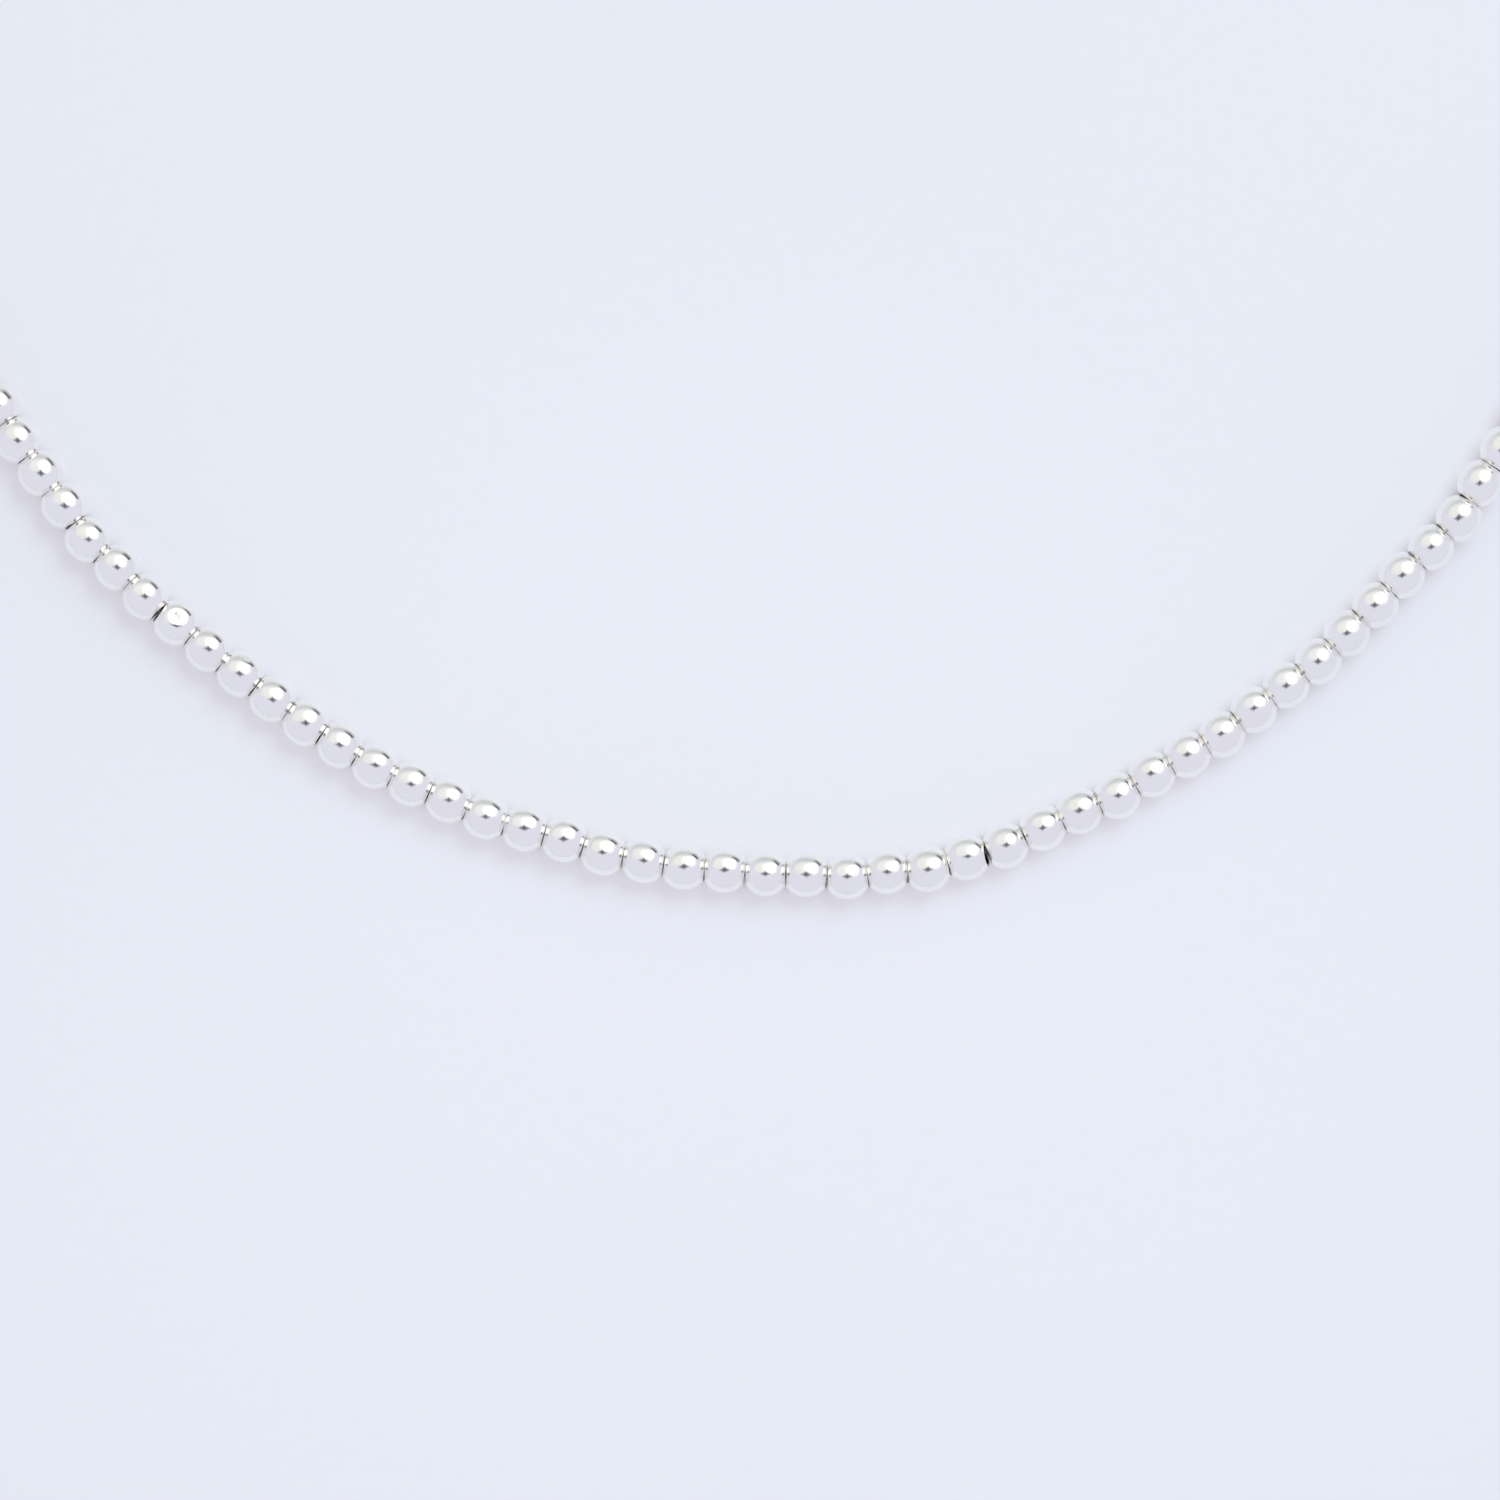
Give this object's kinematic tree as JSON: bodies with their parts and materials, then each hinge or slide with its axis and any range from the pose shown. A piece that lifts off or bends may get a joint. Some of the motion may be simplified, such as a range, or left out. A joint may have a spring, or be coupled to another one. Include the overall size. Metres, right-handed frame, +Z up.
{
  "type": "ball bead necklace",
  "caption": "Closed loop of round hollow silver beads that touch at flattened hole ends, strung on a wire and joined at the back by a plain barrel clasp.",
  "frame": {"origin": "on the surface that the necklace lies on, at the centre of the loop's bounding box", "axes": "+Z up from the surface; the front of the loop is at -Y and the clasp at +Y; +X to the right, seen from above"},
  "size_m": [0.1256, 0.1392, 0.003],
  "materials": {
    "beads": "polished silver",
    "clasp": "polished silver",
    "stringing_wire": "coated steel stringing wire"
  },
  "bodies": {
    "root": {"bead_string_left": "beads", "bead_string_right": "beads", "thread": "stringing_wire", "clasp": "clasp"}
  },
  "joints": []
}
